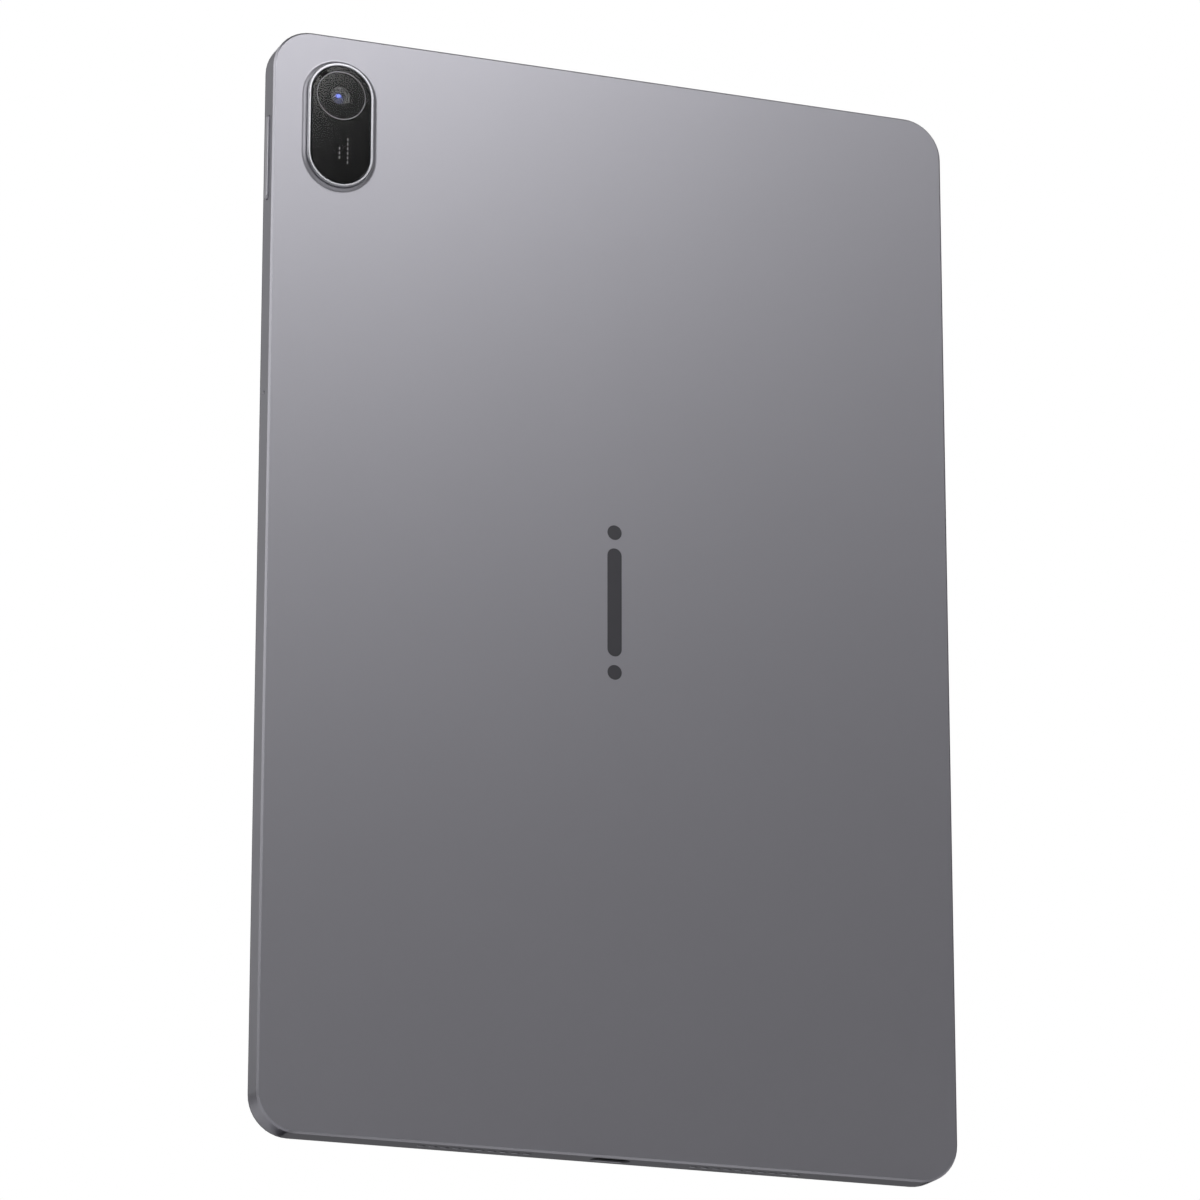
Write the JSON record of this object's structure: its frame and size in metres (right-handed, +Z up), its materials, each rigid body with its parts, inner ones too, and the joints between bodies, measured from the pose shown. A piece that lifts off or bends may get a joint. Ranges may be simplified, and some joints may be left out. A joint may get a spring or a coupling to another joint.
{
  "type": "tablet computer",
  "caption": "Slim tablet computer with a metal shell, glass front, camera island, volume rocker, power button and USB-C port; portrait, upright.",
  "frame": {"origin": "under the middle of the short bottom edge, at half the thickness of the slab", "axes": "+X to the right as seen from the display side, +Y out of the back, +Z up along the long side"},
  "size_m": [0.1643, 0.0081, 0.2527],
  "materials": {
    "anodised_grey": "satin anodised",
    "trim_metal": "diamond turned",
    "emblem_ink": "smooth matt inlay",
    "frame_polymer": "fine matt",
    "front_glass": "polished, black printed behind",
    "camera_glass": "polished",
    "black_film": "matt",
    "lens_glass": "coated",
    "black_foam": "soft",
    "adhesive_black": "tacky",
    "touch_film": "clear film",
    "panel_glass": "dark, switched off",
    "light_guide": "milky",
    "sheet_steel": "rolled",
    "graphite": "dull black",
    "flex_amber": "polyimide",
    "sensor_black": "matt",
    "board_green": "solder mask",
    "chip_black": "moulded",
    "nickel_sheet": "nickel plated",
    "connector_cream": "moulded",
    "cell_pouch": "foil laminate",
    "port_steel": "stamped",
    "port_black": "moulded",
    "speaker_black": "moulded",
    "mesh_black": "woven",
    "antenna_grey": "moulded",
    "screw_steel": "black zinc",
    "plunger_white": "moulded"
  },
  "bodies": {
    "tablet": {"rear_housing": "anodised_grey", "back_emblem": "emblem_ink", "front_frame": "frame_polymer", "cover_glass": "front_glass", "glass_print": "black_film", "display_adhesive": "adhesive_black", "touch_sensor": "touch_film", "lcd_panel": "panel_glass", "backlight_unit": "light_guide", "display_tray": "sheet_steel", "graphite_sheet": "graphite", "camera_trim_ring": "trim_metal", "camera_glass": "camera_glass", "camera_lens_ring": "trim_metal", "camera_mask": "black_film", "camera_gasket": "black_foam", "camera_barrel": "sensor_black", "camera_lens": "lens_glass", "camera_module": "nickel_sheet", "camera_flex": "flex_amber", "volume_switches": "connector_cream", "volume_flex": "flex_amber", "volume_bracket": "sheet_steel", "power_switch": "connector_cream", "power_flex": "flex_amber", "power_bracket": "sheet_steel", "mainboard": "board_green", "processor": "chip_black", "memory_chips": "chip_black", "shield_can_large": "nickel_sheet", "shield_can_small": "nickel_sheet", "board_connectors": "connector_cream", "battery_cell_left": "cell_pouch", "battery_cell_right": "cell_pouch", "battery_adhesive": "adhesive_black", "battery_board": "board_green", "battery_flex": "flex_amber", "sub_board": "board_green", "usb_c_shell": "port_steel", "usb_c_tongue": "port_black", "interconnect_flex": "flex_amber", "display_flex": "flex_amber", "speaker_bottom_left": "speaker_black", "speaker_bottom_right": "speaker_black", "speaker_top_left": "speaker_black", "speaker_top_right": "speaker_black", "speaker_meshes": "mesh_black", "microphones": "nickel_sheet", "antennas": "antenna_grey", "front_camera": "sensor_black", "light_sensor": "sensor_black", "board_screws": "screw_steel"},
    "volume_key": {"volume_rocker": "anodised_grey"},
    "volume_plunger_low": {"volume_plunger_lower": "plunger_white"},
    "volume_plunger_high": {"volume_plunger_upper": "plunger_white"},
    "power_key": {"power_button": "anodised_grey"},
    "power_plunger": {"power_plunger": "plunger_white"}
  },
  "joints": [
    {"name": "volume_rock", "type": "hinge", "parent": "tablet", "child": "volume_key", "pos_m": [0.0811, 0, 0.2222], "axis": [0, 1, 0], "range_deg": [-1.3, 1.3], "stiffness_Nm_per_rad": 0.4},
    {"name": "volume_press_low", "type": "slide", "parent": "tablet", "child": "volume_plunger_low", "axis": [-1, 0, 0], "range_m": [-0.00016, 0.00016]},
    {"name": "volume_press_high", "type": "slide", "parent": "tablet", "child": "volume_plunger_high", "axis": [-1, 0, 0], "range_m": [-0.00016, 0.00016]},
    {"name": "power_press", "type": "slide", "parent": "tablet", "child": "power_key", "axis": [0, 0, -1], "range_m": [0, 0.0003], "stiffness_N_per_m": 3000},
    {"name": "power_switch_press", "type": "slide", "parent": "tablet", "child": "power_plunger", "axis": [0, 0, -1], "range_m": [0, 0.0003]}
  ],
  "couplings": [
    {"joint": "volume_press_low", "follows": "volume_rock", "m_per_rad": 0.0065},
    {"joint": "volume_press_high", "follows": "volume_rock", "m_per_rad": -0.0065},
    {"joint": "power_switch_press", "follows": "power_press", "ratio": 1}
  ]
}
